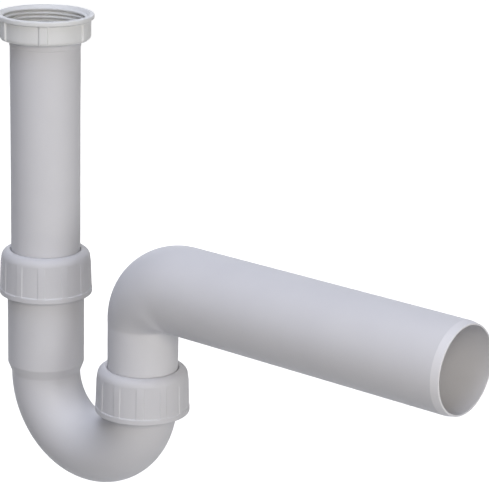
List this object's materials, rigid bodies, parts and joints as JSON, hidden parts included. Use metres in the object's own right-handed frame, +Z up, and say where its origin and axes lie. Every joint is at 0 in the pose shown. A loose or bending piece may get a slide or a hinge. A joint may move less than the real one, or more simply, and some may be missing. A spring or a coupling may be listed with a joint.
{
  "type": "tubular trap",
  "caption": "U-shaped sink trap with a threaded coupling, a telescoping inlet tube, slip nuts and a swivelling elbow with a long horizontal arm.",
  "frame": {"origin": "centre of the flat seal's top face, on the axis of the coupling nut's thread", "axes": "+Z up along the inlet, out of the coupling's mouth; +X from the inlet towards the outlet, along the arm at rest; +Y to the back"},
  "size_m": [0.3211, 0.0554, 0.2702],
  "materials": {
    "pipe_polypropylene": "satin moulded white polypropylene",
    "nut_polypropylene": "satin moulded white polypropylene",
    "ring_polyethylene": "plain moulded polyethylene",
    "seal_rubber": "moulded EPDM rubber"
  },
  "bodies": {
    "coupling": {"coupling_nut": "nut_polypropylene"},
    "tube": {"inlet_tube": "pipe_polypropylene", "inlet_flat_seal": "seal_rubber"},
    "inlet_seal": {"inlet_wedge_seal": "seal_rubber"},
    "trap_bend": {"trap_bend": "pipe_polypropylene", "outlet_wedge_seal": "seal_rubber"},
    "inlet_ring": {"inlet_thrust_ring": "ring_polyethylene"},
    "inlet_nut": {"inlet_slip_nut": "nut_polypropylene"},
    "outlet_ring": {"outlet_thrust_ring": "ring_polyethylene"},
    "outlet_nut": {"outlet_slip_nut": "nut_polypropylene"},
    "elbow": {"outlet_elbow": "pipe_polypropylene"}
  },
  "joints": [
    {"name": "coupling_turn", "type": "hinge", "parent": "coupling", "child": "tube", "pos_m": [0, 0, 0], "axis": [0, 0, 1], "continuous": true},
    {"name": "tube_telescope", "type": "slide", "parent": "tube", "child": "inlet_seal", "axis": [0, 0, 1], "range_m": [-0.016, 0.023]},
    {"name": "bend_swivel", "type": "hinge", "parent": "inlet_seal", "child": "trap_bend", "pos_m": [0, 0, -0.135], "axis": [0, 0, 1], "continuous": true},
    {"name": "inlet_nut_lift", "type": "slide", "parent": "trap_bend", "child": "inlet_ring", "axis": [0, 0, 1], "range_m": [0, 0.0139]},
    {"name": "inlet_nut_turn", "type": "hinge", "parent": "inlet_ring", "child": "inlet_nut", "pos_m": [0, 0, -0.142], "axis": [0, 0, 1], "range_deg": [0, 2160]},
    {"name": "outlet_nut_lift", "type": "slide", "parent": "trap_bend", "child": "outlet_ring", "axis": [0, 0, 1], "range_m": [0, 0.0139]},
    {"name": "outlet_nut_turn", "type": "hinge", "parent": "outlet_ring", "child": "outlet_nut", "pos_m": [0.0762, 0, -0.1958], "axis": [0, 0, 1], "range_deg": [0, 2160]},
    {"name": "elbow_swivel", "type": "hinge", "parent": "trap_bend", "child": "elbow", "pos_m": [0.0762, 0, -0.201], "axis": [0, 0, 1], "range_deg": [-130, 130]}
  ],
  "couplings": [
    {"joint": "inlet_nut_lift", "follows": "inlet_nut_turn", "m_per_rad": 0.00036749},
    {"joint": "outlet_nut_lift", "follows": "outlet_nut_turn", "m_per_rad": 0.00036749}
  ]
}
